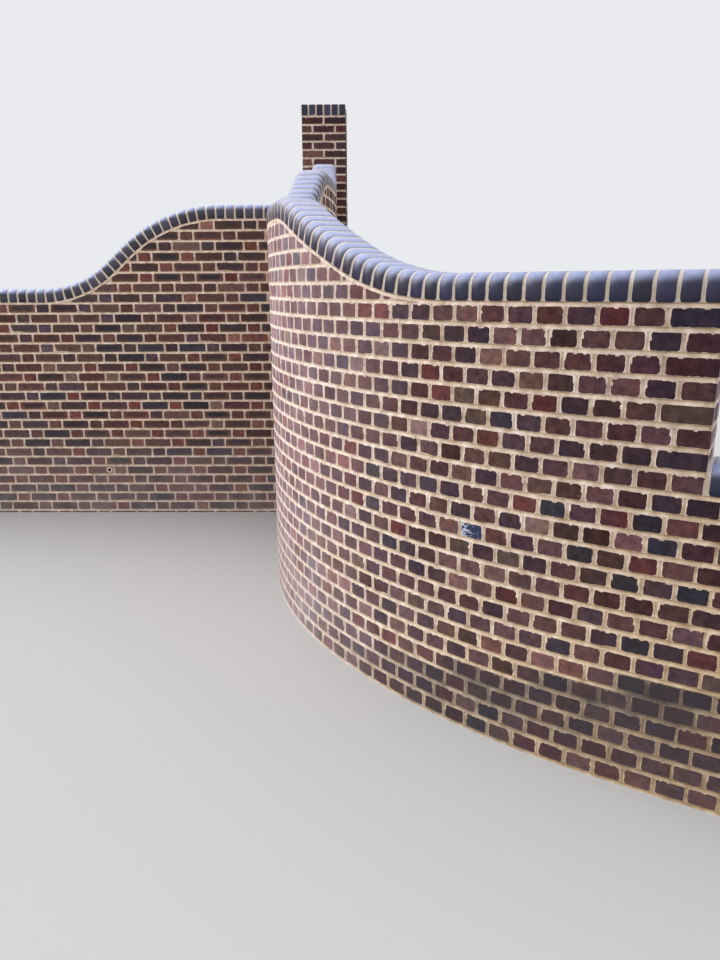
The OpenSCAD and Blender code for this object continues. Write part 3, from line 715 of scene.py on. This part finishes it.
def point(name, skins, nodes):
    """One mortar piece from skins of ring points with their weather, face numbers moved on for each."""
    faces, count = [], 0
    for rings, _ in skins:
        faces += [[v + count for v in f] for f in skin(rings)]
        count += rings.shape[0] * rings.shape[1]
    points = np.concatenate([rings.reshape(-1, 3) for rings, _ in skins])
    weather_and_light = np.concatenate([w.reshape(-1, 3) for _, w in skins])
    build(name, points, faces, "mortar", nodes, {"weather_and_light": ("POINT", "FLOAT_VECTOR", weather_and_light)})


def core(wall, s0, s1):
    """Mortar core of a length: 4 mm behind the bricks, 1.6 mm behind the coping, and down to the ground."""
    s = np.linspace(s0, s1, max(2, round((s1 - s0) / 0.03) + 1))[:, None]
    shape = nose(0.0016)
    near, far = mortar_back, wall_t - mortar_back
    w = np.array([[near, near, *shape[:, 0], far, far]])
    v = np.array([[0, joint, *(shape[:, 1] + joint), joint, 0]])
    foot_w = np.array([[far, near]])
    rings = np.concatenate([wall.over(s, w, v), wall.spot(s, foot_w, 0 * s)], 1)
    # the painted recess shade falls on the core at a little under half strength, and none on the coping
    # joints
    weather_and_light = lipped(weather_and_light_at(wall, s, np.concatenate([w, foot_w], 1)), 0.55)
    weather_and_light[:, 2:-4, 2] = 2
    return rings, weather_and_light


def beds(wall, s0, s1, rows):
    """Struck beds on both faces of a length: one under each row that the top clears, one along the top."""
    made = []
    for z in rows:
        span = cleared(wall, s0, s1, z + joint)
        if span:
            s, depth, height, lips = struck_bed(*span, 0.03)
            for w in (depth, wall_t - depth):
                rings = wall.spot(s, w, np.maximum(z + height, 0))
                made.append((rings, lipped(weather_and_light_at(wall, s, w), lips)))
    s, depth, height, lips = struck_bed(s0, s1, 0.02)
    for w in (depth, wall_t - depth):
        made.append((wall.over(s, w, height), lipped(weather_and_light_at(wall, s, w), lips)))
    return made


def face_beds(face, width, rows, step):
    """Struck beds across a plain face, one under each row."""
    made = []
    for z in rows:
        s, depth, height, lips = struck_bed(bed_shy, width - bed_shy, step)
        rings = face.spot(s, depth, np.maximum(z + height, 0))
        made.append((rings, lipped(np.zeros((*depth.shape, 3)), lips)))
    return made


# bricks of the curved wall: all headers in front, their joints a header pitch apart from the quoined end
# and half a pitch over on even rows; Flemish where the wall runs straight behind the bend
half_gap = (header_pitch - brick_w) / 2
flemish_from = -0.35
back_gap = (flemish_pitch - brick_l - brick_w) / 2


def headers(joints):
    """Rows of s0, s1, w0, w1, flash: bricks as deep as the wall, half a gap short of their joints."""
    return [[a + half_gap, b - half_gap, 0, wall_t, 0] for a, b in zip(joints[:-1], joints[1:])]


def halves(a, b, flash):
    """Two bricks side by side through the wall between stations a and b."""
    return [[a, b, 0, brick_w, flash], [a, b, wall_t - brick_w, wall_t, flash]]


def flemish(start, stop, header_first):
    """Flemish bond backwards from a joint: stretchers in pairs and headers in turn until stop."""
    rows, s, header = [], start - back_gap, header_first
    while s > stop:
        length = brick_w if header else brick_l
        rows += [[s - length, s, 0, wall_t, 0]] if header else halves(s - length, s, 1)
        s, header = s - length - 2 * back_gap, not header
    return rows


def curved_rows():
    """All rows of the curved wall by height: headers from the end of each row to the Flemish part."""
    table = []
    for i in range(n_low + 2 * n_rise + n_last):
        even = (n_low - 1 - i) % 2 == 0
        shift = header_pitch / 2 if even else 0.0
        joints = np.arange(end_s - shift, flemish_from, -header_pitch)[::-1]
        row = []
        if i < n_low - n_drop:
            low_joints = np.arange(end_s - shift, low_end - least_l, header_pitch)
            row += headers([*low_joints, low_end + half_gap])
        else:
            if even:
                row += halves(joints[-1] - header_pitch + half_gap, end_s - shy, 0)
                joints = joints[:-1]
            else:
                joints[-1] = end_s - shy + half_gap
        row += headers(joints)
        row += flemish(joints[0], s_pier, not even)
        table += [[*brick[:4], i * course + joint, (i + 1) * course, brick[4]] for brick in row]
    table = np.array(table)
    table[:, 0] = np.maximum(table[:, 0], s_pier - let_in)
    return table[table[:, 1] - table[:, 0] > least_l]


def left_rows():
    """Rows of the straight wall in Flemish bond: header centres half a pitch over on every other row."""
    table = []
    gap = left_pitch / 2 - (brick_l + brick_w) / 2
    for i in range(-1, n_left + n_left_rise):
        first = left_even_x if (n_left - 1 - i) % 2 == 0 else left_odd_x
        z0, z1 = max(low_lift + i * course + joint, 0.0), low_lift + (i + 1) * course
        for centre in np.arange(first - left_pitches * left_pitch, face_x + left_pitch, left_pitch):
            a, b = centre - brick_w / 2, centre + brick_w / 2
            for s0, s1, w0, w1, flash in ([a, b, 0, wall_t, 0], *halves(b + gap, a + left_pitch - gap, 1)):
                table.append([max(s0, left_end + shy), min(s1, face_x), w0, w1, z0, z1, flash])
    table = np.array(table)
    return table[table[:, 1] - table[:, 0] > left_least_l]


# where the straight wall meets the back wall's outer face, and 10 mm into its joints
aft = np.linspace(s_high2, s_high, 400)
back_x, back_y, _ = curved_line(aft)
face_x = float(np.interp(0.1, back_y[::-1], back_x[::-1])) + 0.01

curved_table, left_table = curved_rows(), left_rows()


def between(table, s0, s1):
    """The rows whose middle lies between two stations."""
    middle = (table[:, 0] + table[:, 1]) / 2
    return table[(middle >= s0) & (middle < s1)]


def plain_fire(clays):
    """Function that colours bricks from one set of clays, whatever their flash."""
    return lambda flash: fire(len(flash), clays)


def left_fire(flash):
    """Colours of the straight wall's bricks: only its stretchers are flashed."""
    stretchers, headers = fire(len(flash), left_stretcher_clays), fire(len(flash), left_header_clays)
    return np.where(flash[:, None] > 0, stretchers, headers)


# the lengths of the walls by tag, wall, node and stations, as the solids are divided
low_middle = (low_end + end_s) / 2
lengths = [
    ("lower_far", low_right, "lower_bay_far", low_middle, low_end),
    ("lower_near", low_right, "lower_bay_near", end_s, low_middle),
    ("quoined_end", curved, "quoined_end", end_s - quoin_l, end_s),
    ("level_right", curved, "level_bay_right", sweep_s, end_s - quoin_l),
    ("sweep_front", curved, "sweep_bay_front", s_crest, sweep_s),
    ("crest", curved, "crest_bend", s_mid, s_crest),
    ("sweep_mid", curved, "sweep_bay_mid", s_high, s_mid),
    ("level_back", curved, "level_bay_back", s_high2, s_high),
    ("sweep_back", curved, "sweep_bay_back", s_top, s_high2),
    ("pier_bay", curved, "pier_bay", s_pier, s_top),
    ("left_high", left, "left_high_bay", left_x1, face_x),
    ("left_sweep", left, "left_sweep_bay", left_x0, left_x1),
    ("left_near", left, "left_bay_near", left_x0 - left_bay_l, left_x0),
    ("left_far", left, "left_bay_far", left_end, left_x0 - left_bay_l),
]
# stations of each wall's free corners, out of reach where an end has none
free_ends = {left: (left_end, 1), low_right: (s_pier - 1, low_end), curved: (s_pier - 1, end_s)}
for tag, wall, node, s0, s1 in lengths:
    table, clays = (left_table, left_fire) if wall is left else (curved_table, plain_fire(header_clays))
    lay(f"bricks_{tag}", wall, between(table, s0, s1), clays, "brick", [node], free_ends[wall])

# mortar: cores and struck beds, short of the free ends; the low wall's starts inside the quoined end, and
# the low wall and the straight wall's low bays are one length each
rows = np.arange(n_pier) * course
lifted = np.concatenate([[-course], rows]) + low_lift
lifted = lifted[lifted > 0]
for tag, wall, s0, s1 in (
    ("lower", low_right, end_s - 0.006, low_end - cover),
    ("quoined_end", curved, end_s - quoin_l, end_s - cover),
    *[(tag, wall, s0, s1) for tag, wall, _, s0, s1 in lengths[3:9]],
    ("pier_bay", curved, s_pier - let_in, s_top),
    *[(tag, wall, s0, s1) for tag, wall, _, s0, s1 in lengths[10:12]],
    ("left_low", left, left_end + cover, left_x0),
):
    skins = [core(wall, s0, s1)] + beds(wall, s0, s1, lifted if wall is left else rows)
    if tag == "quoined_end":
        skins += face_beds(quoin_face, wall_t, rows[(rows > z_drop) & (rows < z_low - 0.01)], 0.03)
    point(f"mortar_{tag}", skins, [f"bed_{tag}"])

# coping: joints counted from the quoined end on the curved wall, and from a joint of the high bay on the
# straight one
first_joint = {low_right: end_s + low_cop_start, curved: end_s + cop_start, left: left_cop_x}
for tag, wall, _, s0, s1 in lengths:
    pitch = low_cop_pitch if wall is low_right else cop_pitch
    cope(f"coping_{tag}_bricks", wall, s0, s1, [f"coping_{tag}"], first_joint[wall], pitch)

# end pier, two bricks square: header, stretcher, header on two faces and two stretchers on the others,
# turned a quarter on every other course, with pairs of bricks on edge on top
far = pier_w - brick_w
long_far = pier_w - brick_l
mid = (pier_w - brick_l) / 2
plan_a = [
    *[[a, a + brick_w, b, b + brick_l] for a in (0, far) for b in (0, long_far)],
    *[[mid, mid + brick_l, b, b + brick_w] for b in (0, far)],
]
plan_b = [[c, d, a, b] for a, b, c, d in plan_a]
pier_table = [
    [*brick, i * course + joint, (i + 1) * course, 0]
    for i in range(n_pier) for brick in (plan_a if i % 2 else plan_b)
]
lay("bricks_pier", pier, pier_table, plain_fire(header_clays), "brick", ["pier_shaft"], (0, pier_w))
edge_table = [
    [s, s + cop_brick, w, w + brick_l, z_pier + joint, z_edge, 0]
    for s in np.linspace(0, pier_w - cop_brick, 6) for w in (0, long_far)
]
edge_fire = plain_fire(coping_clays)
lay("pier_edge_bricks", pier, edge_table, edge_fire, "coping", ["pier_edge_course"], (0, pier_w))
near, far = mortar_back, pier_w - mortar_back
square = np.array([[near, far, far, near], [near, near, far, far]])
rings = pier.spot(square[:1], square[1:], np.array([0, z_pier, z_edge - 0.003])[:, None])
skins = [(rings, lipped(np.zeros(rings.shape), 0.8))]
for face in pier_faces:
    skins += face_beds(face, pier_w, np.arange(n_pier + 1) * course, 0.04)
point("mortar_pier", skins, ["pier_cap_bed"])

# camera where the photograph was taken from, 27.6 mm on a frame 36 mm high, 14.8 degrees down and turned
# 0.7 degrees to the left
camera = bpy.data.objects.new("camera", bpy.data.cameras.new("camera"))
bpy.context.scene.collection.objects.link(camera)
focal_px, picture_px, sky_sheen_and_dust = 735.4, 960, 36
camera.data.sensor_width, camera.data.lens = sky_sheen_and_dust, focal_px * sky_sheen_and_dust / picture_px
down, roll, yaw = np.radians([14.77, -0.24, 0.7])
turned = Matrix.Translation((0.4355, -5.948, 1.8495)) @ Matrix.Rotation(yaw, 4, "Z")
camera.matrix_world = turned @ Matrix.Rotation(np.pi / 2 - down, 4, "X") @ Matrix.Rotation(roll, 4, "Z")
bpy.context.scene.camera = camera

# pale matt floor
material, tree = fresh("pale_studio_floor")
shader = add(tree, "BsdfPrincipled", {"Base Color": linear("#bebdbb"), "Roughness": 0.95})
add(tree, "OutputMaterial", [shader])
mesh = bpy.data.meshes.new("studio_floor")
half = 60
corners = [(-half, -half, 0), (half, -half, 0), (half, half, 0), (-half, half, 0)]
mesh.from_pydata(corners, [], [(0, 1, 2, 3)])
mesh.materials.append(material)
floor = bpy.data.objects.new("studio_floor", mesh)
bpy.context.scene.collection.objects.link(floor)

# one broad soft lamp, 30 degrees up on the left and a little behind, and an even pale surround that the
# camera sees a shade darker
lamp = bpy.data.lights.new("sky_lamp", "SUN")
lamp.angle, lamp.energy = np.radians(50), 2.2
lamp_object = bpy.data.objects.new("sky_lamp", lamp)
lamp_object.rotation_euler = Vector((0.83, -0.25, -0.5)).to_track_quat("-Z", "Y").to_euler()
bpy.context.scene.collection.objects.link(lamp_object)

world = bpy.data.worlds.new("studio")
bpy.context.scene.world = world
world.use_nodes = True
tree = world.node_tree
tree.nodes.clear()
path = add(tree, "LightPath")
seen = add(tree, "Math", [path, (path, 3)], operation="MAXIMUM")
clear = add(tree, "Math", [seen, (path, 6)], operation="MAXIMUM")
soft = add(tree, "Background", [linear("#f4f6fa"), 1.15])
plain = add(tree, "Background", [linear("#e9ebee"), 1.0])
both = add(tree, "MixShader", [clear, soft, plain])
add(tree, "OutputWorld", [both])

bpy.context.scene.view_settings.view_transform = "Standard"
